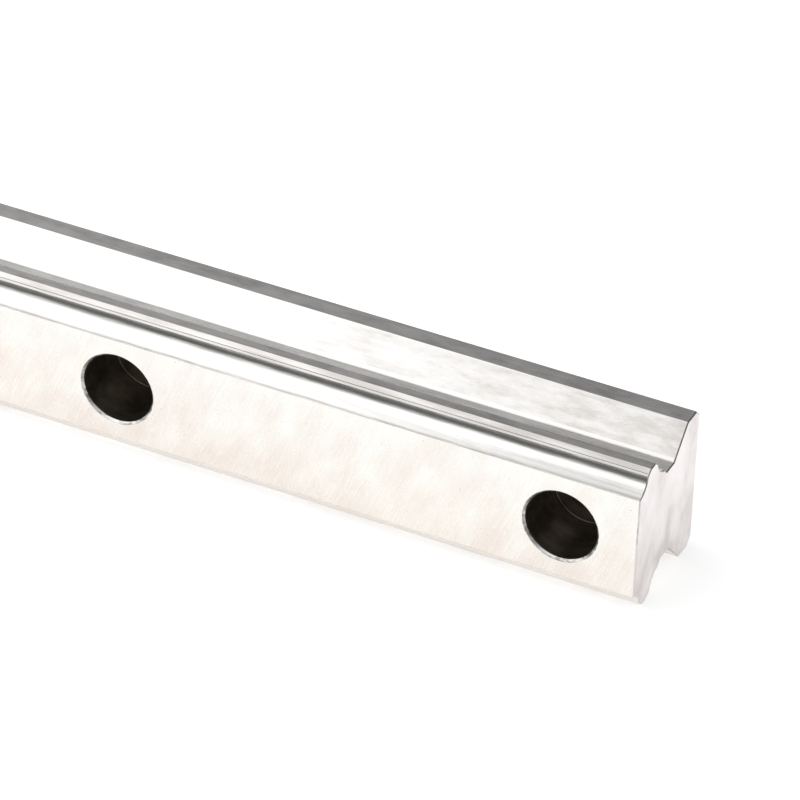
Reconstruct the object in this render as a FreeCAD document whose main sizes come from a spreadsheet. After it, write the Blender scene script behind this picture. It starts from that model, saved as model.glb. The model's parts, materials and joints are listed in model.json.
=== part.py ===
import FreeCAD, Part
import math
import os
import Sketcher

doc = FreeCAD.newDocument("guide_rail")

# Driving dimensions, millimetres and degrees
driving = {
    "rail_length": 200,
    "rail_width": 20,
    "rail_height": 17.5,
    "base_side": 3.6,
    "base_chamfer": 1.0,
    "flank_round": 0.25,
    "neck_wall": 2.2,
    "neck_fillet": 0.4,
    "undercut_depth": 0.85,
    "undercut_angle": 45,
    "raceway_radius": 2.8,
    "raceway_reach": 2.15,
    "raceway_inset": 0.65,
    "raceway_spacing": 7.2,
    "raceway_lip": 0.25,
    "ridge_land": 1.3,
    "edge_break": 0.1,
    "end_chamfer": 0.12,
    "hole_pitch": 60,
    "end_margin": 10,
    "bolt_hole": 6,
    "counterbore": 9.5,
    "counterbore_depth": 8.5,
    "hole_chamfer": 0.35,
}

sheet = doc.addObject("Spreadsheet::Sheet", "Sizes")
for row, (alias, number) in enumerate(driving.items(), start=1):
    sheet.set(f"A{row}", alias)
    sheet.set(f"B{row}", str(number))
    sheet.setAlias(f"B{row}", alias)
doc.recompute()

TOUCHING = 1e-4


def size(alias):
    return float(sheet.get(alias))


# Points of a sketch as constraints name them: a curve and which of its points
def start_of(curve):
    return curve, 1


def end_of(curve):
    return curve, 2


def centre_of(curve):
    return curve, 3


def sketch_origin():
    return start_of(-1)


def origin_part(body, role):
    return next(item for item in body.Origin.OriginFeatures if item.Role == role)


def new_sketch(body, name, role):
    sketch = body.newObject("Sketcher::SketchObject", name)
    sketch.AttachmentSupport = [(origin_part(body, role), "")]
    sketch.MapMode = "FlatFace"
    return sketch


def add_line(sketch, start, end):
    ends = [FreeCAD.Vector(x, y, 0) for x, y in (start, end)]
    return sketch.addGeometry(Part.LineSegment(*ends))


def add_arc(sketch, centre, radius, start_degrees, end_degrees):
    circle = Part.Circle(FreeCAD.Vector(*centre, 0), FreeCAD.Vector(0, 0, 1), radius)
    return sketch.addGeometry(
        Part.ArcOfCircle(circle, math.radians(start_degrees), math.radians(end_degrees))
    )


def add_arc_between(sketch, start, end, radius):
    across, up = end[0] - start[0], end[1] - start[1]
    half_chord = math.hypot(across, up) / 2
    lift = math.sqrt(radius**2 - half_chord**2) / (2 * half_chord)
    centre = (start[0] + across / 2 - up * lift, start[1] + up / 2 + across * lift)
    turns = [math.degrees(math.atan2(y - centre[1], x - centre[0])) for x, y in (start, end)]
    return add_arc(sketch, centre, radius, *turns)


def add_point(sketch, place):
    return sketch.addGeometry(Part.Point(FreeCAD.Vector(*place, 0)), True)


def bind(sketch, name, constraint, formula):
    index = sketch.addConstraint(constraint)
    sketch.renameConstraint(index, name)
    sketch.setExpression(f"Constraints.{name}", formula)


def bind_across(sketch, name, first, second, formula):
    span = sketch.getPoint(*second).x - sketch.getPoint(*first).x
    bind(sketch, name, Sketcher.Constraint("DistanceX", *first, *second, span), formula)


def bind_up(sketch, name, first, second, formula):
    span = sketch.getPoint(*second).y - sketch.getPoint(*first).y
    bind(sketch, name, Sketcher.Constraint("DistanceY", *first, *second, span), formula)


def on_circle(centre, radius, degrees):
    turn = math.radians(degrees)
    return centre[0] + radius * math.cos(turn), centre[1] + radius * math.sin(turn)


def draw_half_section(sketch):
    side = size("rail_width") / 2
    top = size("rail_height")
    radius = size("raceway_radius")
    reach = size("raceway_reach")
    outer = side - size("raceway_inset")
    inner = outer - reach
    low = top - size("raceway_spacing")
    ridge = (top + low) / 2
    land = size("ridge_land")
    lip = size("raceway_lip")
    relief = size("edge_break")
    rounding = size("flank_round")
    fillet = size("neck_fillet")
    depth = size("undercut_depth")
    neck = inner - depth
    neck_top = low - depth * math.tan(math.radians(size("undercut_angle")))

    # The flank runs between two sharp corners, which the arcs round off
    side_corner = (side, size("base_side"))
    neck_corner = (neck, neck_top - size("neck_wall"))
    rise, run = neck_corner[1] - side_corner[1], side - neck
    turn = 90 - math.degrees(math.atan2(rise, run))
    cut_back = math.tan(math.radians(turn / 2))
    round_centre = (side - rounding, side_corner[1] - rounding * cut_back)
    fillet_centre = (neck + fillet, neck_corner[1] + fillet * cut_back)

    foot_in = (side - size("base_chamfer"), 0)
    foot_out = (side, size("base_chamfer"))
    lower_lip = (outer + lip, low + reach + lip)
    upper_lip = (outer + lip, top - reach - lip)
    break_point = (inner, top - relief)
    top_edge = (inner - relief, top)

    # Outline, counter-clockwise from the middle of the mounting face
    base = add_line(sketch, (0, 0), foot_in)
    foot = add_line(sketch, foot_in, foot_out)
    base_side = add_line(sketch, foot_out, on_circle(round_centre, rounding, 0))
    flank_round = add_arc(sketch, round_centre, rounding, 0, turn)
    flank = add_line(
        sketch,
        on_circle(round_centre, rounding, turn),
        on_circle(fillet_centre, fillet, 180 + turn),
    )
    neck_fillet = add_arc(sketch, fillet_centre, fillet, 180, 180 + turn)
    neck_wall = add_line(sketch, on_circle(fillet_centre, fillet, 180), (neck, neck_top))
    undercut = add_line(sketch, (neck, neck_top), (inner, low))
    lower_raceway = add_arc_between(sketch, (outer, low + reach), (inner, low), radius)
    lower_flat = add_line(sketch, (outer, low + reach), lower_lip)
    lower_bevel = add_line(sketch, lower_lip, (side, ridge - land / 2))
    ridge_side = add_line(sketch, (side, ridge - land / 2), (side, ridge + land / 2))
    upper_bevel = add_line(sketch, (side, ridge + land / 2), upper_lip)
    upper_flat = add_line(sketch, upper_lip, (outer, top - reach))
    upper_raceway = add_arc_between(sketch, break_point, (outer, top - reach), radius)
    edge_break = add_line(sketch, break_point, top_edge)
    top_face = add_line(sketch, top_edge, (0, top))
    middle = add_line(sketch, (0, top), (0, 0))
    low_corner = add_point(sketch, side_corner)
    high_corner = add_point(sketch, neck_corner)

    # Joins; a tangent join also makes the two ends meet
    meets = [
        (end_of(base), start_of(foot)),
        (end_of(foot), start_of(base_side)),
        (end_of(neck_wall), start_of(undercut)),
        (end_of(undercut), end_of(lower_raceway)),
        (start_of(lower_raceway), start_of(lower_flat)),
        (end_of(lower_flat), start_of(lower_bevel)),
        (end_of(lower_bevel), start_of(ridge_side)),
        (end_of(ridge_side), start_of(upper_bevel)),
        (end_of(upper_bevel), start_of(upper_flat)),
        (end_of(upper_flat), end_of(upper_raceway)),
        (start_of(upper_raceway), start_of(edge_break)),
        (end_of(edge_break), start_of(top_face)),
        (end_of(top_face), start_of(middle)),
        (end_of(middle), start_of(base)),
        (start_of(base), sketch_origin()),
    ]
    blends = [
        (end_of(base_side), start_of(flank_round)),
        (end_of(flank_round), start_of(flank)),
        (end_of(flank), end_of(neck_fillet)),
        (start_of(neck_fillet), start_of(neck_wall)),
    ]
    plumb = [
        (start_of(lower_raceway), end_of(upper_raceway)),
        (end_of(lower_raceway), start_of(upper_raceway)),
    ]
    for kind, pairs in (
        ("Coincident", meets),
        ("Tangent", blends),
        ("Vertical", plumb),
    ):
        for first, second in pairs:
            sketch.addConstraint(Sketcher.Constraint(kind, *first, *second))
    for line in (base, top_face):
        sketch.addConstraint(Sketcher.Constraint("Horizontal", line))
    for line in (base_side, neck_wall, ridge_side, middle):
        sketch.addConstraint(Sketcher.Constraint("Vertical", line))
    for corner, line in (
        (low_corner, base_side),
        (low_corner, flank),
        (high_corner, neck_wall),
        (high_corner, flank),
    ):
        sketch.addConstraint(Sketcher.Constraint("PointOnObject", *start_of(corner), line))
    sketch.addConstraint(Sketcher.Constraint("Equal", lower_raceway, upper_raceway))

    # Sizes taken from the sheet
    origin = sketch_origin()
    side_formula = "Sizes.rail_width / 2"
    bind_up(sketch, "height", origin, start_of(middle), "Sizes.rail_height")
    bind_across(sketch, "base_half", origin, end_of(foot), side_formula)
    bind_across(sketch, "ridge_half", origin, start_of(ridge_side), side_formula)
    bind_across(sketch, "foot_run", start_of(foot), end_of(foot), "Sizes.base_chamfer")
    bind_up(sketch, "foot_rise", start_of(foot), end_of(foot), "Sizes.base_chamfer")
    bind_up(sketch, "side_rise", origin, start_of(low_corner), "Sizes.base_side")
    bind_up(sketch, "neck_rise", start_of(high_corner), end_of(neck_wall), "Sizes.neck_wall")
    bind_across(sketch, "undercut_run", start_of(undercut), end_of(undercut), "Sizes.undercut_depth")
    bind(
        sketch,
        "undercut_slope",
        Sketcher.Constraint("Angle", undercut, math.radians(size("undercut_angle"))),
        "Sizes.undercut_angle * 1 deg",
    )
    for name, arc, radius_now, alias in (
        ("round_radius", flank_round, rounding, "flank_round"),
        ("fillet_radius", neck_fillet, fillet, "neck_fillet"),
        ("groove_radius", lower_raceway, radius, "raceway_radius"),
    ):
        bind(sketch, name, Sketcher.Constraint("Radius", arc, radius_now), f"Sizes.{alias}")
    top_middle = start_of(middle)
    lower_inner, lower_outer = end_of(lower_raceway), start_of(lower_raceway)
    upper_outer = end_of(upper_raceway)
    bind_across(sketch, "groove_inset", lower_outer, start_of(ridge_side), "Sizes.raceway_inset")
    bind_across(sketch, "groove_reach", lower_inner, lower_outer, "Sizes.raceway_reach")
    bind_up(sketch, "lower_reach", lower_inner, lower_outer, "Sizes.raceway_reach")
    bind_up(sketch, "upper_reach", upper_outer, top_middle, "Sizes.raceway_reach")
    bind_up(sketch, "groove_spacing", lower_inner, top_middle, "Sizes.raceway_spacing")
    bind_up(sketch, "land_height", start_of(ridge_side), end_of(ridge_side), "Sizes.ridge_land")
    bind_up(
        sketch,
        "land_drop",
        end_of(ridge_side),
        top_middle,
        "(Sizes.raceway_spacing - Sizes.ridge_land) / 2",
    )
    for name, inner, outer in (
        ("lower_lip", start_of(lower_flat), end_of(lower_flat)),
        ("upper_lip", end_of(upper_flat), start_of(upper_flat)),
    ):
        bind_across(sketch, f"{name}_run", inner, outer, "Sizes.raceway_lip")
    bind_up(
        sketch, "lower_lip_rise", start_of(lower_flat), end_of(lower_flat), "Sizes.raceway_lip"
    )
    bind_up(
        sketch, "upper_lip_rise", start_of(upper_flat), end_of(upper_flat), "Sizes.raceway_lip"
    )
    bind_across(sketch, "break_run", end_of(edge_break), start_of(edge_break), "Sizes.edge_break")
    bind_up(sketch, "break_rise", start_of(edge_break), end_of(edge_break), "Sizes.edge_break")


def draw_hole_centre(sketch):
    radius = size("bolt_hole") / 2
    centre = FreeCAD.Vector(size("rail_length") / 2 - size("end_margin"), 0, 0)
    hole = sketch.addGeometry(Part.Circle(centre, FreeCAD.Vector(0, 0, 1), radius))
    origin, middle = sketch_origin(), centre_of(hole)
    sketch.addConstraint(Sketcher.Constraint("Horizontal", *origin, *middle))
    to_hole = "Sizes.rail_length / 2 - Sizes.end_margin"
    bind_across(sketch, "first_hole", origin, middle, to_hole)
    across = Sketcher.Constraint("Diameter", hole, 2 * radius)
    bind(sketch, "hole_diameter", across, "Sizes.bolt_hole")


def edges_where(feature, wanted):
    edges = enumerate(feature.Shape.Edges, start=1)
    return [f"Edge{number}" for number, edge in edges if wanted(edge)]


def is_rim(edge, diameter, height):
    return (
        isinstance(edge.Curve, Part.Circle)
        and abs(2 * edge.Curve.Radius - diameter) < TOUCHING
        and abs(edge.Curve.Center.z - height) < TOUCHING
        and edge.isClosed()
    )


def is_hole_mouth(edge):
    return is_rim(edge, size("counterbore"), size("rail_height")) or is_rim(
        edge, size("bolt_hole"), 0
    )


def is_end_edge(edge):
    box = edge.BoundBox
    return box.XLength < TOUCHING and abs(abs(box.XMin) - size("rail_length") / 2) < TOUCHING


def chamfer(body, name, base, wanted, alias):
    feature = body.newObject("PartDesign::Chamfer", name)
    feature.Base = (base, edges_where(base, wanted))
    feature.setExpression("Size", f"Sizes.{alias}")
    doc.recompute()
    return feature


def make_rail():
    body = doc.addObject("PartDesign::Body", "rail")
    body.Label = "guide_rail"

    # Rolled and ground section: one half drawn, the other mirrored
    section = new_sketch(body, "half_section", "YZ_Plane")
    draw_half_section(section)
    bar = body.newObject("PartDesign::Pad", "half_bar")
    bar.Profile = section
    bar.SideType = "Symmetric"
    bar.setExpression("Length", "Sizes.rail_length")
    doc.recompute()
    whole_bar = body.newObject("PartDesign::Mirrored", "whole_bar")
    whole_bar.Originals = [bar]
    whole_bar.MirrorPlane = (origin_part(body, "XZ_Plane"), [""])
    body.Tip = whole_bar
    doc.recompute()

    # Counterbored bolt holes, sunk from the top face
    hole_centre = new_sketch(body, "hole_centre", "XY_Plane")
    hole_centre.setExpression("AttachmentOffset.Base.z", "Sizes.rail_height")
    draw_hole_centre(hole_centre)
    doc.recompute()
    hole = body.newObject("PartDesign::Hole", "bolt_hole")
    hole.Profile = hole_centre
    hole.ThreadType = "None"
    hole.DepthType = "ThroughAll"
    hole.HoleCutType = "Counterbore"
    hole.HoleCutCustomValues = True
    hole.setExpression("Diameter", "Sizes.bolt_hole")
    hole.setExpression("HoleCutDiameter", "Sizes.counterbore")
    hole.setExpression("HoleCutDepth", "Sizes.counterbore_depth")
    doc.recompute()
    hole_row = body.newObject("PartDesign::LinearPattern", "hole_row")
    hole_row.Originals = [hole]
    hole_row.Direction = (origin_part(body, "X_Axis"), [""])
    hole_row.Reversed = True
    hole_row.Mode = "Spacing"
    hole_row.setExpression("Offset", "Sizes.hole_pitch")
    hole_row.setExpression(
        "Occurrences",
        "floor((Sizes.rail_length - Sizes.end_margin - 0.75 * Sizes.counterbore)"
        " / Sizes.hole_pitch) + 1",
    )
    body.Tip = hole_row
    doc.recompute()

    # Broken edges
    mouths = chamfer(body, "hole_mouths", hole_row, is_hole_mouth, "hole_chamfer")
    chamfer(body, "cut_ends", mouths, is_end_edge, "end_chamfer")

    # The rail lies on its side, top face to the front
    body.Placement.Rotation = FreeCAD.Rotation(FreeCAD.Vector(1, 0, 0), 90)
    body.setExpression("Placement.Base.y", "Sizes.rail_height / 2")
    body.setExpression("Placement.Base.z", "Sizes.rail_width / 2")
    doc.recompute()
    return body


def check(items):
    for item in items:
        if "Invalid" in item.State or "Error" in item.State:
            raise RuntimeError(f"{item.Name} did not recompute: {item.State}")
        shape = getattr(item, "Shape", None)
        if shape is not None and (shape.isNull() or not shape.isValid()):
            raise RuntimeError(f"{item.Name} has no valid shape")


rail = make_rail()
check([sheet, rail] + rail.Group)

os.makedirs("parts", exist_ok=True)
rail.Shape.exportStep(f"parts/{rail.Label}.step")
print(rail.Label, "solids", len(rail.Shape.Solids), "volume", round(rail.Shape.Volume, 1))
print("box", rail.Shape.BoundBox)
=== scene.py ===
import json
import math

import bmesh
import bpy
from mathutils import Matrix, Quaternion, Vector


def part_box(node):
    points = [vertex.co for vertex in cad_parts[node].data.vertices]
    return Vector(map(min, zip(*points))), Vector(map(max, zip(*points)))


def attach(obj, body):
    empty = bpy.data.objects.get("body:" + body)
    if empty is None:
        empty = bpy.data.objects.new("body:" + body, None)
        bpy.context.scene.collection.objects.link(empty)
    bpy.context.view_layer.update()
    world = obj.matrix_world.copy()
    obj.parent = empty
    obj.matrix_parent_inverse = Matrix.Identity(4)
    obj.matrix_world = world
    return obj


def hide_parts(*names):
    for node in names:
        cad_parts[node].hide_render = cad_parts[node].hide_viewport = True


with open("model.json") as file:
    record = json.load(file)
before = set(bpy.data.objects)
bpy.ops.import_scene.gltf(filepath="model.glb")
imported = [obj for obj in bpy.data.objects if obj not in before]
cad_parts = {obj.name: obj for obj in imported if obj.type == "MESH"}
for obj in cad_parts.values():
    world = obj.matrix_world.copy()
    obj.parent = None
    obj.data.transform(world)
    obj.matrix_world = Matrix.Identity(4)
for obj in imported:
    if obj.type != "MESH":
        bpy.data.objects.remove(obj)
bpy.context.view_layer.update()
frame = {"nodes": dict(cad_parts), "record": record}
mm = 0.001  # the rail and the camera are in millimetres, the scene is in metres
print("frame loaded:", sorted(frame["nodes"]))

# The rail's ground section, half of it: heights from the mounting face, widths from the middle.
rail = {
    "node": "guide_rail",
    "slot": "ground_steel",
    "baseChamfer": 1.0,
    "baseSide": 3.6,           # height of the square base side
    "flankAngle": 45.0,        # degrees off upright
    "flankRound": 0.22,
    "highlightStrip": 0.4,           # painted highlight: a lighter strip along the foot of the flank
    "neckHalf": 6.35,          # half of the neck's width
    "neckFillet": 0.3,
    "neckTop": 9.45,           # where the wall turns into the undercut
    "racewayRadius": 2.8,      # hollow of both ball tracks
    "racewayOuter": 9.35,      # their outer ends, across
    "racewayReach": 2.15,      # from there inwards, and up or down
    "racewayLow": 10.3,        # foot of the lower track
    "lip": 0.25,
    "lipStep": (0.085, 0.03),  # fine step where the wheel left the ridge
    "ridgeLow": 13.25,         # flat land on the ridge between the tracks
    "ridgeHigh": 14.55,
    "ridgeBevel": 0.4,
    "edgeBreak": 0.1,
    "cornerRadius": 0.05,      # what the stone leaves on each sharp edge
    "endRadius": 0.15,
    "mouthAcross": 0.27,       # bevelled lip of each counterbore, across and down the bore
    "mouthDeep": 0.30,
    "mouthRound": 0.12,
    "seatCorner": 0.18,        # tool corner at the bottom of the seat
    "exitChamfer": 0.35,
    "arcStep": 3.0,            # degrees
    "roundSteps": 3,
    "softenFrom": 20.0,        # degrees: a corner that turns less gets no round
    "creaseFrom": 38.0,        # degrees: an edge that turns more is shaded crisp
    "flatWeight": 80,          # how much the large faces lead the shading
    "samePoint": 1e-6,         # points of the outline that are closer than this are one
    "boreSides": 128,
    "collarSides": 16,         # coarse ring on the flat round each hole
    "collarSize": 1.28,        # against the hole's rim
}
railLow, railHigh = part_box(rail["node"])
railMiddle = (railLow + railHigh) / 2
halfWidth = (railHigh.z - railLow.z) / 2 / mm
height = (railHigh.y - railLow.y) / mm
plateFinishes = ("topGround", "baseGround")  # the two flat faces that the holes run through


def arc(across, up, radius, start, end):
    steps = max(2, round(abs(end - start) / rail["arcStep"]))
    turns = [math.radians(start + (end - start) * i / steps) for i in range(steps + 1)]
    return [(across + radius * math.cos(t), up + radius * math.sin(t)) for t in turns]


def hollow(start, end):
    # a ball track from one point to another, its centre out in the air on the right
    chord, radius = Vector(end) - Vector(start), rail["racewayRadius"]
    lift = math.sqrt(radius ** 2 - chord.length_squared / 4) / chord.length
    centre = Vector(start) + chord / 2 + Vector((chord.y, -chord.x)) * lift
    first, last = (math.degrees(math.atan2(p[1] - centre.y, p[0] - centre.x)) for p in (start, end))
    return arc(centre.x, centre.y, radius, first, last)


def sideRuns():
    # one side from the base edge to the top edge, as (finish, points) runs that share their ends
    angle, roundRadius, fillet = rail["flankAngle"], rail["flankRound"], rail["neckFillet"]
    slope = math.radians(angle)
    neck, tip = rail["neckHalf"], halfWidth - rail["ridgeBevel"]
    roundFoot = rail["baseSide"] - roundRadius * math.tan(slope / 2)
    flankTop = rail["baseSide"] + (halfWidth - neck) / math.tan(slope)
    filletTop = flankTop + fillet * math.tan(slope / 2)
    filletArc = arc(neck + fillet, filletTop, fillet, 180 + angle, 180)
    flankFoot = filletArc[0]
    # the round at the top of the flank and a strip along its foot take a painted highlight
    highlightOut, highlightDown = rail["highlightStrip"] * math.sin(slope), rail["highlightStrip"] * math.cos(slope)
    highlightEnd = (flankFoot[0] + highlightOut, flankFoot[1] - highlightDown)
    outer, inner = rail["racewayOuter"], rail["racewayOuter"] - rail["racewayReach"]
    low, lowEnd = rail["racewayLow"], rail["racewayLow"] + rail["racewayReach"]
    highEnd, high = height - rail["racewayReach"], height - rail["edgeBreak"]
    lip, (stepIn, stepUp) = rail["lip"], rail["lipStep"]
    return [
        ("sideGround", [(halfWidth - rail["baseChamfer"], 0), (halfWidth, rail["baseChamfer"])]),
        ("sideGround", [(halfWidth, roundFoot)]),
        ("flankHighlight", arc(halfWidth - roundRadius, roundFoot, roundRadius, 0, angle)),
        ("flankDrawn", [highlightEnd]),
        ("flankHighlight", [flankFoot]),
        ("flankDrawn", filletArc),
        ("neckDrawn", [(neck, rail["neckTop"]), (inner, low)]),
        ("racewayPolished", hollow((inner, low), (outer, lowEnd))),
        ("lipGround", [(tip - stepIn, lowEnd + lip - stepUp), (tip, lowEnd + lip)]),
        ("ridgeGround", [(halfWidth, rail["ridgeLow"])]),
        ("sideGround", [(halfWidth, rail["ridgeHigh"])]),
        ("ridgeGround", [(tip, highEnd - lip)]),
        ("lipGround", [(tip - stepIn, highEnd - lip + stepUp), (outer, highEnd)]),
        ("racewayPolished", hollow((outer, highEnd), (inner, high))),
        ("edgeStoned", [(inner - rail["edgeBreak"], height)]),
    ]


def wholeOutline():
    # the closed outline: its points, and the finish of the run that ends at each point
    points, tags = [], []
    for finish, run in sideRuns():
        for point in run:
            if not points or math.dist(point, points[-1]) > rail["samePoint"]:
                points.append(point)
                tags.append(finish)
    tags[0] = "baseGround"
    leftPoints = [(-across, up) for across, up in reversed(points)]
    leftTags = ["topGround"] + list(reversed(tags[1:]))
    return points + leftPoints, tags + leftTags


def shrunk(points, distance):
    # the closed outline moved into the metal by a distance
    moved = []
    for i, point in enumerate(points):
        before = (Vector(point) - Vector(points[i - 1])).normalized()
        after = (Vector(points[(i + 1) % len(points)]) - Vector(point)).normalized()
        inward = Vector((-before.y, before.x)) + Vector((-after.y, after.x))
        moved.append(tuple(Vector(point) + inward * distance / (1 + before.dot(after))))
    return moved


def softened(points, tags, radius, closed=True):
    # every sharp corner gets a small round of its own
    softPoints, softTags = [], []
    for i, point in enumerate(points):
        j = (i + 1) % len(points)
        corner = Vector(point)
        loose = not closed and i in (0, len(points) - 1)
        before = (corner - Vector(points[i - 1])).normalized()
        after = (Vector(points[j]) - corner).normalized()
        turn = math.acos(max(-1, min(1, before.dot(after))))
        if loose or turn < math.radians(rail["softenFrom"]):
            softPoints.append(point)
            softTags.append(tags[i])
            continue
        reach = radius * math.tan(turn / 2)
        start, end = corner - before * reach, corner + after * reach
        for k in range(rail["roundSteps"] + 1):
            t = k / rail["roundSteps"]
            softPoints.append(tuple(start * (1 - t) ** 2 + corner * 2 * t * (1 - t) + end * t ** 2))
            softTags.append(tags[i] if k == 0 else tags[j])
    return softPoints, softTags


def bevelled(top, foot):
    # a bevel from the top face down into the bore, both of its edges rounded off
    onFace, inBore = (top[0] + 1, top[1]), (foot[0], foot[1] - 1)  # a step out, and a step down
    corners = [onFace, top, foot, inBore]
    rounded = softened(corners, ["mouthLip"] * len(corners), rail["mouthRound"], closed=False)[0]
    return rounded[1:-1]


def boresOf(record):
    # each hole in the row: where it is along the rail, its two radii and the height of its seat
    mounts = {m["name"]: m for m in record["mounts"]}
    bores = []
    for name in sorted(n for n in mounts if n.startswith("bolt_hole_")):
        hole, seat = mounts[name], mounts[name.replace("bolt_hole", "counterbore")]
        floorAt = hole["pos_m"][1] - hole["dims"]["length_mm"] * mm / 2
        bores.append({
            "x": hole["pos_m"][0],
            "hole": hole["dims"]["r_mm"],
            "seat": seat["dims"]["r_mm"],
            "floor": (railHigh.y - floorAt) / mm,
        })
    return bores


def spot(mesh, x, across, up):
    return mesh.verts.new((x, railHigh.y - up * mm, railMiddle.z + across * mm))


def circle(mesh, x, radius, up, sides):
    turns = [2 * math.pi * s / sides for s in range(sides)]
    return [spot(mesh, x + radius * mm * math.cos(t), radius * math.sin(t), up) for t in turns]


def skin(mesh, ring, nextRing, i, finish):
    # one face between two rings, from a corner to the one after it
    j = (i + 1) % len(ring)
    face = mesh.faces.new((ring[i], ring[j], nextRing[j], nextRing[i]))
    face.material_index = finishNames.index(finish)
    face.smooth = True


def fill(mesh, loops, finish):
    # flat metal between an outer loop and the loops inside it
    border = []
    for loop in loops:
        for vert, other in zip(loop, loop[1:] + loop[:1]):
            border.append(mesh.edges.get((vert, other)) or mesh.edges.new((vert, other)))
    facing = (0, -1, 0) if finish == "topGround" else (0, 1, 0)
    filled = bmesh.ops.triangle_fill(mesh, use_beauty=True, edges=border, normal=facing)
    for face in (g for g in filled["geom"] if isinstance(g, bmesh.types.BMFace)):
        face.material_index = finishNames.index(finish)


def isPlate(first, second):
    # only the two flat plates run straight across more than half of the rail
    return abs(first.co.z - second.co.z) > halfWidth * mm


def skinBar(mesh):
    # rings along the bar: a rounded end, the long run, a rounded end; the two plates are left open
    sharp, tags = wholeOutline()
    steps, radius = rail["roundSteps"], rail["endRadius"]
    turns = [math.radians(90 * k / steps) for k in range(steps + 1)]
    ends = [(radius * (1 - math.cos(t)), radius * (1 - math.sin(t))) for t in turns]
    stations = [(railLow.x + back * mm, cut) for back, cut in ends]
    stations += [(railHigh.x - back * mm, cut) for back, cut in reversed(ends)]
    rings = []
    for x, cut in stations:
        outline, ringTags = softened(shrunk(sharp, cut), tags, rail["cornerRadius"])
        rings.append([spot(mesh, x, across, up) for across, up in outline])
    plates = {}
    for k, (ring, nextRing) in enumerate(zip(rings, rings[1:])):
        for i in range(len(ring)):
            j = (i + 1) % len(ring)
            finish = ringTags[j] if k == steps else "endEdge"
            if finish in plateFinishes and isPlate(ring[i], ring[j]):
                plates[finish] = [ring[i], ring[j], nextRing[j], nextRing[i]]
            else:
                skin(mesh, ring, nextRing, i, finish)
    for ring in (rings[0], rings[-1]):
        mesh.faces.new(ring).material_index = finishNames.index("endCut")
    return plates


def boreHole(mesh, bore):
    # one counterbored hole from its mouth down to the mounting face, with a collar on both flats
    seat, hole, floor = bore["seat"], bore["hole"], bore["floor"]
    corner, chamfer, sides = rail["seatCorner"], rail["exitChamfer"], rail["boreSides"]
    mouth = bevelled((seat + rail["mouthAcross"], height), (seat, height - rail["mouthDeep"]))
    turn = arc(seat - corner, floor + corner, corner, 0, -90)
    profile = mouth + turn + [(hole, floor), (hole, chamfer), (hole + chamfer, 0)]
    tags = ["mouthLip"] * len(mouth) + ["seatWall"] + ["seatCorner"] * (len(turn) - 1)
    tags += ["seatFloor", "seatFloor", "exitBevel"]
    circles = [circle(mesh, bore["x"], radius, up, sides) for radius, up in profile]
    for ring, nextRing, finish in zip(circles, circles[1:], tags[1:]):
        for i in range(sides):
            skin(mesh, ring, nextRing, i, finish)
    collars = {}
    for finish, k in zip(plateFinishes, (0, -1)):  # the first and the last circle are the rims
        radius, up = profile[k]
        ring = circle(mesh, bore["x"], radius * rail["collarSize"], up, rail["collarSides"])
        fill(mesh, [ring, circles[k]], finish)
        collars[finish] = ring
    return collars


def addToScene(name, data):
    thing = bpy.data.objects.new(name, data)
    bpy.context.scene.collection.objects.link(thing)
    return thing


def buildRail():
    mesh = bmesh.new()
    plates = skinBar(mesh)
    print("bar skinned:", len(mesh.faces), "faces")
    collars = [boreHole(mesh, bore) for bore in boresOf(frame["record"])]
    for finish in plateFinishes:
        fill(mesh, [plates[finish]] + [collar[finish] for collar in collars], finish)
    print("holes bored:", len(collars))
    bmesh.ops.recalc_face_normals(mesh, faces=mesh.faces)

    data = bpy.data.meshes.new("guideRail")
    mesh.to_mesh(data)
    mesh.free()
    for name, look in finishes.items():
        data.materials.append(steelFinish(name, look))
    data.set_sharp_from_angle(angle=math.radians(rail["creaseFrom"]))
    for face in data.polygons:  # the two plates stay flat, no shading runs in from their rims
        face.use_smooth = finishNames[face.material_index] not in plateFinishes
    piece = addToScene("guideRail", data)
    weighted = piece.modifiers.new("flat faces stay flat", "WEIGHTED_NORMAL")
    weighted.keep_sharp = True
    weighted.weight = rail["flatWeight"]
    return piece
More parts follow.
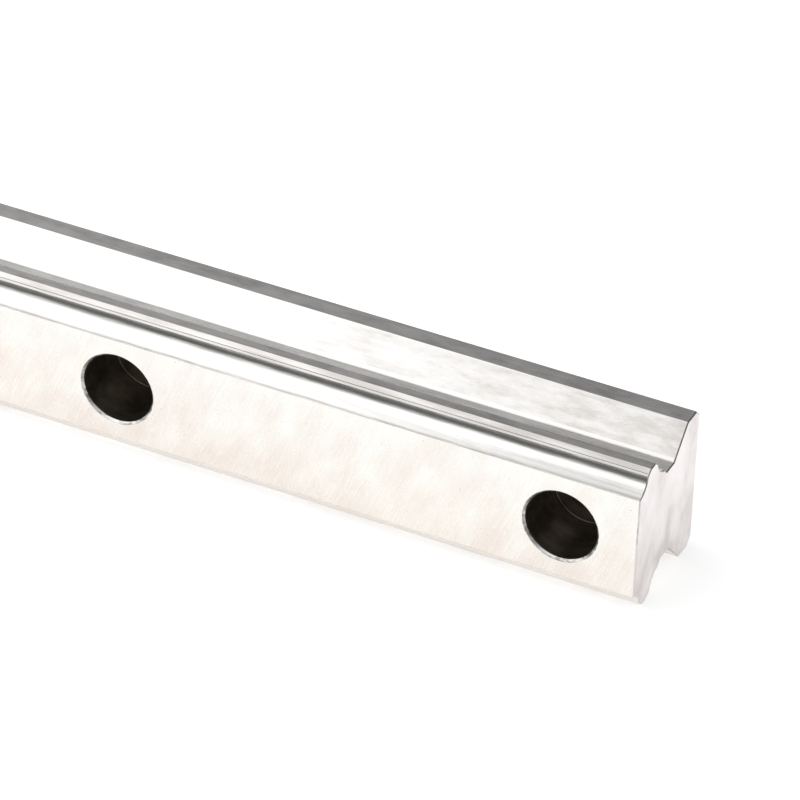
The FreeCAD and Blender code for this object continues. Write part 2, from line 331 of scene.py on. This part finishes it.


# How each surface was finished, with light and shade painted into some of them. The notes at the first
# one hold for all.
finishes = {
    "topGround": {
        "tones": ((0.80, 0.737, 0.683), (0.845, 0.81, 0.76), (0.885, 0.88, 0.845)),  # dark to light
        "mottle": (6.0, 3.5),      # length and width of the stains
        "turn": -68.0,             # degrees that stains and grinding lines are off the rail's length
        "spread": (0.24, 0.74),    # where on the noise the first and the last tone lie
        "lean": (0.0, 0.0, 0.52),  # lighter towards one end, over the length, height and width; here painted shade, darker towards the floor
        "grain": (5.0, 0.40),      # length and width of the grinding lines
        "lines": 0.25,             # how dark they are
        "depth": 0.02,             # how deep they are
        "rough": (0.24, 0.29),     # roughness, from the lines to the metal between them
        "pits": 0.8,               # how dark the pits are
    },
    "baseGround": {
        "tones": ((0.70, 0.685, 0.66), (0.80, 0.785, 0.765)), "mottle": (12.0, 4.0), "turn": 0.0,
        "grain": (14.0, 0.20), "lines": 0.5, "depth": 0.12, "rough": (0.24, 0.34), "pits": 0.4,
    },
    "sideGround": {
        "tones": ((0.70, 0.68, 0.67), (0.83, 0.81, 0.80), (0.92, 0.90, 0.89)),
        "mottle": (4.0, 1.6), "turn": 0.0,
        "grain": (2.5, 0.25), "lines": 0.6, "depth": 0.12, "rough": (0.22, 0.30), "pits": 0.3,
    },
    # painted shade: the ridge land grows darker towards the right end
    "ridgeGround": {
        "tones": ((0.66, 0.63, 0.61), (0.79, 0.76, 0.74), (0.87, 0.85, 0.82)),
        "mottle": (8.0, 1.0), "turn": 0.0, "lean": (-0.24, 0.0, 0.0),
        "grain": (10.0, 0.10), "lines": 0.5, "depth": 0.12, "rough": (0.24, 0.32), "pits": 0.1,
    },
    "lipGround": {
        "tones": ((0.68, 0.64, 0.60), (0.64, 0.62, 0.60), (0.74, 0.72, 0.70)),
        "mottle": (8.0, 1.0), "turn": 0.0, "lean": (0.0, 0.0, 0.20),
        "grain": (10.0, 0.10), "lines": 0.5, "depth": 0.10, "rough": (0.24, 0.32), "pits": 0.1,
    },
    # painted light: the flank is lighter towards its left end
    "flankDrawn": {
        "tones": ((0.70, 0.67, 0.645), (0.80, 0.778, 0.757), (0.87, 0.857, 0.842), (0.91, 0.90, 0.89)),
        "mottle": (6.0, 1.7), "ragged": 0.72,  # how broken the edges of the stains are
        "turn": 0.0, "spread": (0.0, 0.32), "lean": (-0.92, 0.0, 0.0),
        "grain": (3.0, 0.45), "lines": 0.6, "depth": 0.30, "rough": (0.26, 0.36), "pits": 0.5,
    },
    # painted highlight: light tones on the flank's top round and on the strip along its foot
    "flankHighlight": {
        "tones": ((0.86, 0.845, 0.825), (0.91, 0.90, 0.88)), "mottle": (6.0, 1.0), "turn": 0.0,
        "grain": (6.0, 0.10), "lines": 0.3, "depth": 0.05, "rough": (0.16, 0.24), "pits": 0.1,
    },
    # painted shade: the neck grows darker towards the right end
    "neckDrawn": {
        "tones": ((0.78, 0.77, 0.76), (0.98, 0.97, 0.95)),
        "mottle": (6.0, 1.5), "turn": 0.0, "lean": (-0.20, 0.0, 0.0),
        "grain": (5.0, 0.30), "lines": 0.5, "depth": 0.20, "rough": (0.28, 0.38), "pits": 0.3,
    },
    "racewayPolished": {
        "tones": ((0.86, 0.81, 0.762), (0.82, 0.79, 0.76), (0.775, 0.76, 0.74), (0.86, 0.85, 0.83)),
        "mottle": (14.0, 0.7), "turn": 0.0, "lean": (0.0, 0.0, 0.40),
        "wave": (7.0, 1.4, 0.04),  # length, width and height of the waves that the wheel left
        "grain": (12.0, 0.08), "lines": 0.3, "depth": 0.05, "rough": (0.13, 0.19), "pits": 0.1,
    },
    "edgeStoned": {
        "tones": ((0.50, 0.47, 0.435), (0.76, 0.735, 0.70)), "mottle": (4.0, 1.0), "turn": 0.0,
        "grain": (6.0, 0.10), "lines": 0.4, "depth": 0.05, "rough": (0.30, 0.40), "pits": 0.1,
    },
    # painted shade: the cut end grows darker towards the floor
    "endCut": {
        "tones": ((0.62, 0.58, 0.575), (0.80, 0.75, 0.74), (0.88, 0.84, 0.835)),
        "mottle": (8.0, 5.0), "turn": 90.0, "lean": (0.0, 0.0, 0.24),
        "grain": (9.0, 0.70), "lines": 0.15, "depth": 0.08, "rough": (0.28, 0.38), "pits": 0.2,
    },
    "endEdge": {
        "tones": ((0.30, 0.28, 0.265), (0.67, 0.645, 0.62)),
        "mottle": (2.0, 2.0), "turn": 0.0, "lean": (0.0, -0.40, -0.30),
        "grain": (1.0, 0.10), "lines": 0.4, "depth": 0.06, "rough": (0.35, 0.45), "pits": 0.1,
    },
    # painted highlight: each hole's bevel is lighter on its lower side
    "mouthLip": {
        "tones": ((0.26, 0.25, 0.23), (0.48, 0.46, 0.44), (0.95, 0.935, 0.91)),
        "mottle": (1.1, 0.6), "turn": 0.0, "spread": (0.34, 0.70), "lean": (0.0, 0.0, -0.60),
        "grain": (1.0, 0.10), "lines": 0.4, "depth": 0.06, "rough": (0.32, 0.40), "pits": 0.2,
    },
    "seatWall": {
        "tones": ((0.245, 0.225, 0.19), (0.40, 0.375, 0.33)), "mottle": (3.0, 1.5), "turn": 0.0,
        "grain": (1.5, 0.30), "lines": 0.5, "depth": 0.15, "rough": (0.30, 0.40), "pits": 0.4,
    },
    "seatCorner": {
        "tones": ((0.11, 0.10, 0.085), (0.20, 0.185, 0.16)), "mottle": (4.0, 4.0), "turn": 0.0,
        "grain": (1.5, 0.30), "lines": 0.5, "depth": 0.10, "rough": (0.30, 0.40), "pits": 0.2,
    },
    "seatFloor": {
        "tones": ((0.105, 0.083, 0.062), (0.175, 0.142, 0.108)), "mottle": (2.0, 1.5), "turn": 0.0,
        "grain": (1.5, 0.30), "lines": 0.5, "depth": 0.25, "rough": (0.40, 0.55), "pits": 0.4,
    },
    "exitBevel": {
        "tones": ((0.50, 0.48, 0.45), (0.72, 0.70, 0.66)), "mottle": (2.0, 1.0), "turn": 0.0,
        "grain": (1.0, 0.10), "lines": 0.4, "depth": 0.06, "rough": (0.25, 0.35), "pits": 0.2,
    },
}
finishNames = list(finishes)

# What all the finishes share. Each spread says where on its noise a change begins and ends.
steel = {
    "spread": (0.34, 0.64),        # for a finish that names none
    "ragged": 0.5,
    "mottleDetail": 5.0,
    "grainDetail": 3.0,
    "lineColour": (0.84, 0.82, 0.81), "lineSpread": (0.34, 0.56),
    "patch": (9.0, 6.0, 5.0),      # worn patches, where the grinding lines fade
    "patchDetail": 2.0, "patchSpread": (0.38, 0.62),
    "patchLines": 0.15,            # how dark the lines still are there
    "pit": (0.30, 0.30, 0.30),
    "pitDetail": 2.0, "pitColour": (0.30, 0.26, 0.23), "pitSpread": (0.235, 0.27),
    "glossSpread": (0.3, 0.7),
    "grainHeight": 0.02,
}
clean = (1.0, 1.0, 1.0)  # the metal between the marks keeps its tone


def newMaterial(name):
    material = bpy.data.materials.new(name)
    material.use_nodes = True
    return material, material.node_tree, material.node_tree.nodes["Principled BSDF"]


def addNode(tree, kind, sockets, **settings):
    # a new node with its settings made, and a link or a plain value for each socket named
    node = tree.nodes.new(kind)
    for name, value in settings.items():
        setattr(node, name, value)
    for name, value in sockets.items():
        if isinstance(value, bpy.types.NodeSocket):
            tree.links.new(value, node.inputs[name])
        else:
            node.inputs[name].default_value = value
    return node


def colourRamp(tree, source, stops):
    ramp = addNode(tree, "ShaderNodeValToRGB", {"Fac": source})
    elements = ramp.color_ramp.elements
    while len(elements) < len(stops):
        elements.new(0.5)
    for element, (at, colour) in zip(elements, stops):
        element.position, element.color = at, (*colour, 1)
    return ramp.outputs["Color"]


def grey(level):
    return (level, level, level)


def noise(tree, place, size, turn, detail, ragged=steel["ragged"]):
    stretch = addNode(tree, "ShaderNodeMapping", {
        "Vector": place,
        "Rotation": (0, math.radians(turn), 0),
        "Scale": [s * mm for s in size],
    }, vector_type="TEXTURE")  # turns first, then divides by the size
    texture = addNode(tree, "ShaderNodeTexNoise", {
        "Vector": stretch.outputs["Vector"], "Scale": 1.0, "Detail": detail, "Roughness": ragged,
    })
    return texture.outputs["Fac"]


def leaning(tree, place, source, lean):
    # the noise raised towards one end or side of the rail, which paints light and shade into several
    # finishes
    share = [amount / full for amount, full in zip(lean, railHigh - railLow)]
    away = addNode(tree, "ShaderNodeVectorMath", {0: place, 1: railMiddle}, operation="SUBTRACT")
    sockets = {0: away.outputs["Vector"], 1: share}
    raised = addNode(tree, "ShaderNodeVectorMath", sockets, operation="DOT_PRODUCT")
    total = addNode(tree, "ShaderNodeMath", {0: source, 1: raised.outputs["Value"]}, operation="ADD")
    return total.outputs["Value"]


def times(tree, first, second, share):
    # the mix node's colours are its sockets 6 and 7, and its colour result is output 2
    sockets = {"Factor": share, 6: first, 7: second}
    return addNode(tree, "ShaderNodeMix", sockets, data_type="RGBA", blend_type="MULTIPLY").outputs[2]


def steelFinish(name, look):
    material, tree, shader = newMaterial(name)
    shader.inputs["Metallic"].default_value = 1.0
    place = addNode(tree, "ShaderNodeTexCoord", {}).outputs["Object"]

    def marks(key, detail, ragged=steel["ragged"]):
        long, wide = look[key]
        return noise(tree, place, (long, wide, wide), look["turn"], detail, ragged)

    grain = marks("grain", steel["grainDetail"])
    mottle = marks("mottle", steel["mottleDetail"], look.get("ragged", steel["ragged"]))
    if "lean" in look:
        mottle = leaning(tree, place, mottle, look["lean"])
    patches = noise(tree, place, steel["patch"], 0.0, steel["patchDetail"])
    pits = noise(tree, place, steel["pit"], 0.0, steel["pitDetail"])

    tones, (first, last) = look["tones"], look.get("spread", steel["spread"])
    stops = [first + (last - first) * i / (len(tones) - 1) for i in range(len(tones))]
    tone = colourRamp(tree, mottle, list(zip(stops, tones)))
    lines = colourRamp(tree, grain, list(zip(steel["lineSpread"], (steel["lineColour"], clean))))
    holes = colourRamp(tree, pits, list(zip(steel["pitSpread"], (steel["pitColour"], clean))))
    lineShares = (grey(steel["patchLines"]), grey(look["lines"]))
    worn = colourRamp(tree, patches, list(zip(steel["patchSpread"], lineShares)))
    colour = times(tree, times(tree, tone, lines, worn), holes, look["pits"])
    tree.links.new(colour, shader.inputs["Base Color"])

    (fromMin, fromMax), (toMin, toMax) = steel["glossSpread"], look["rough"]
    gloss = addNode(tree, "ShaderNodeMapRange", {
        "Value": grain, "From Min": fromMin, "From Max": fromMax, "To Min": toMin, "To Max": toMax,
    })
    tree.links.new(gloss.outputs["Result"], shader.inputs["Roughness"])

    bump = addNode(tree, "ShaderNodeBump", {
        "Strength": look["depth"], "Distance": steel["grainHeight"] * mm, "Height": grain,
    })
    if "wave" in look:  # long shallow waves under the fine grain
        long, wide, high = look["wave"]
        swell = noise(tree, place, (long, wide, wide), 0.0, steel["grainDetail"])
        wave = addNode(tree, "ShaderNodeBump", {"Strength": 1.0, "Distance": high * mm, "Height": swell})
        tree.links.new(wave.outputs["Normal"], bump.inputs["Normal"])
    tree.links.new(bump.outputs["Normal"], shader.inputs["Normal"])
    return material


# A sheet of white paper: a round floor that curves up into a low wall, in metres.
paper = {
    "floorRadius": 3.5, "wallRound": 0.5, "wallHeight": 1.0, "hub": 0.01,
    "sides": 96, "roundSteps": 8,
    "colour": (0.88, 0.88, 0.88), "rough": 0.9,
    "glow": 0.47,  # where the camera or the metal looks at it, so that it reads white
}


def whitePaper():
    material, tree, shader = newMaterial("whitePaper")
    shader.inputs["Base Color"].default_value = (*paper["colour"], 1)
    shader.inputs["Roughness"].default_value = paper["rough"]
    shader.inputs["Specular IOR Level"].default_value = 0.0
    shader.inputs["Emission Color"].default_value = (1, 1, 1, 1)
    path = addNode(tree, "ShaderNodeLightPath", {})
    looked = path.outputs["Is Camera Ray"]
    for ray in ("Is Glossy Ray", "Is Transmission Ray"):
        either = addNode(tree, "ShaderNodeMath", {0: looked, 1: path.outputs[ray]}, operation="MAXIMUM")
        looked = either.outputs["Value"]
    glow = addNode(tree, "ShaderNodeMath", {0: looked, 1: paper["glow"]}, operation="MULTIPLY")
    tree.links.new(glow.outputs["Value"], shader.inputs["Emission Strength"])
    return material


def paperSweep():
    floor, bend = paper["floorRadius"], paper["wallRound"]
    sides, steps = paper["sides"], paper["roundSteps"]
    profile = [(paper["hub"], 0.0), (floor, 0.0)]
    for k in range(1, steps + 1):
        t = math.radians(90 * k / steps)
        profile.append((floor + bend * math.sin(t), bend * (1 - math.cos(t))))
    profile.append((floor + bend, paper["wallHeight"]))

    mesh = bmesh.new()
    turns = [2 * math.pi * s / sides for s in range(sides)]
    rings = []
    for radius, up in profile:
        rings.append([mesh.verts.new((radius * math.cos(t), radius * math.sin(t), up)) for t in turns])
    mesh.faces.new(rings[0])
    for inner, outer in zip(rings, rings[1:]):
        for i in range(sides):
            j = (i + 1) % sides
            mesh.faces.new((inner[i], inner[j], outer[j], outer[i])).smooth = True
    bmesh.ops.recalc_face_normals(mesh, faces=mesh.faces)
    data = bpy.data.meshes.new("paperSweep")
    mesh.to_mesh(data)
    mesh.free()
    data.materials.append(whitePaper())
    sweep = addToScene("paperSweep", data)


# Grey cards that only the metal sees. The fade runs from the first two corners to the last two.
cards = {
    "frontCard": {  # dark at the foot, fading into the bright room above
        "corners": (
            (-0.25, -0.09, 0.0), (0.25, -0.09, 0.0), (0.25, -0.09, 0.070), (-0.25, -0.09, 0.042),
        ),
        "fade": (
            (0.0, 0.34), (0.12, 0.22), (0.25, 0.13), (0.38, 0.11), (0.55, 0.19),
            (0.66, 0.32), (0.79, 0.55), (0.92, 0.86), (1.0, 1.0),
        ),
    },
    "sideCard": {  # the dark side of the room, off the cut end
        "corners": ((0.30, -0.70, 0.0), (0.30, 0.50, 0.0), (0.30, 0.50, 0.35), (0.30, -0.70, 0.35)),
        "fade": ((0.0, 0.16), (0.7, 0.12), (1.0, 0.40)),
    },
    "backCard": {  # grey, a little lighter towards the left
        "corners": ((0.35, 0.25, 0.0), (0.35, 0.25, 0.34), (-0.45, 0.25, 0.34), (-0.45, 0.25, 0.0)),
        "fade": ((0.0, 0.14), (0.35, 0.20), (0.46, 0.26), (0.55, 0.34), (0.65, 0.40), (1.0, 0.42)),
    },
}


def studioCard(name, card):
    data = bpy.data.meshes.new(name)
    data.from_pydata(card["corners"], [], [(0, 1, 2, 3)])
    along = data.uv_layers.new(name="fade")
    for loop, share in zip(along.data, (0, 0, 1, 1)):
        loop.uv = (0.5, share)
    material, tree, shader = newMaterial(name)
    shader.inputs["Base Color"].default_value = (0, 0, 0, 1)
    shader.inputs["Specular IOR Level"].default_value = 0.0
    shader.inputs["Emission Strength"].default_value = 1.0
    place = addNode(tree, "ShaderNodeTexCoord", {}).outputs["UV"]
    split = addNode(tree, "ShaderNodeSeparateXYZ", {"Vector": place})
    fade = colourRamp(tree, split.outputs["Y"], [(at, grey(level)) for at, level in card["fade"]])
    tree.links.new(fade, shader.inputs["Emission Color"])
    data.materials.append(material)
    piece = addToScene(name, data)
    piece.visible_camera = piece.visible_diffuse = piece.visible_shadow = False


# The room is bright in front and overhead and falls off towards the back.
room = {
    "levels": (  # how far a direction points back, and the level there
        (-0.2, 0.86), (0.05, 0.90), (0.2, 0.76), (0.33, 0.60),
        (0.48, 0.46), (0.6, 0.41), (0.75, 0.29), (1.0, 0.26),
    ),
}


def lightRoom():
    world = bpy.context.scene.world or bpy.data.worlds.new("whiteRoom")
    bpy.context.scene.world = world
    world.use_nodes = True
    tree = world.node_tree
    place = addNode(tree, "ShaderNodeTexCoord", {}).outputs["Generated"]
    split = addNode(tree, "ShaderNodeSeparateXYZ", {"Vector": place})
    sockets = {"Value": split.outputs["Y"], "From Min": -1, "From Max": 1}
    back = addNode(tree, "ShaderNodeMapRange", sockets)
    stops = [((at + 1) / 2, grey(level)) for at, level in room["levels"]]
    shade = colourRamp(tree, back.outputs["Result"], stops)
    tree.links.new(shade, tree.nodes["Background"].inputs["Color"])


# One large soft box up on the left, in metres. At level 1 it shines as white paper does.
softBox = {"place": (-0.59, -0.40, 0.5), "size": (1.0, 1.10), "level": 0.46}


def hangSoftBox():
    wide, deep = softBox["size"]
    light = bpy.data.lights.new("softBox", "AREA")
    light.shape, light.size, light.size_y = "RECTANGLE", wide, deep
    light.energy = softBox["level"] * math.pi * wide * deep
    lamp = addToScene("softBox", light)
    lamp.location = softBox["place"]
    lamp.visible_camera = False


# The photograph's viewpoint, in millimetres and degrees.
camera = {
    "lens": 257.48, "aim": (61.60, 5.94, 10.0), "distance": 704.29,
    "azimuth": 24.435, "elevation": 34.676, "roll": 2.423,
}


def placeCamera():
    turn, rise = math.radians(camera["azimuth"]), math.radians(camera["elevation"])
    roll = Quaternion((0, 0, 1), math.radians(camera["roll"]))
    back = Vector((math.sin(turn) * math.cos(rise), -math.cos(turn) * math.cos(rise), math.sin(rise)))
    data = bpy.data.cameras.new("photoCamera")
    data.lens = camera["lens"]
    eye = addToScene("photoCamera", data)
    eye.location = (Vector(camera["aim"]) + back * camera["distance"]) * mm
    eye.rotation_mode = "QUATERNION"
    eye.rotation_quaternion = back.to_track_quat("Z", "Y") @ roll
    bpy.context.scene.camera = eye


guideRail = buildRail()
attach(guideRail, "root")
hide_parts(rail["node"])
print("rail dressed:", len(guideRail.data.polygons), "faces")

paperSweep()
for cardName, card in cards.items():
    studioCard(cardName, card)
lightRoom()
hangSoftBox()
placeCamera()
bpy.context.scene.view_settings.view_transform = "Standard"
print("studio set")
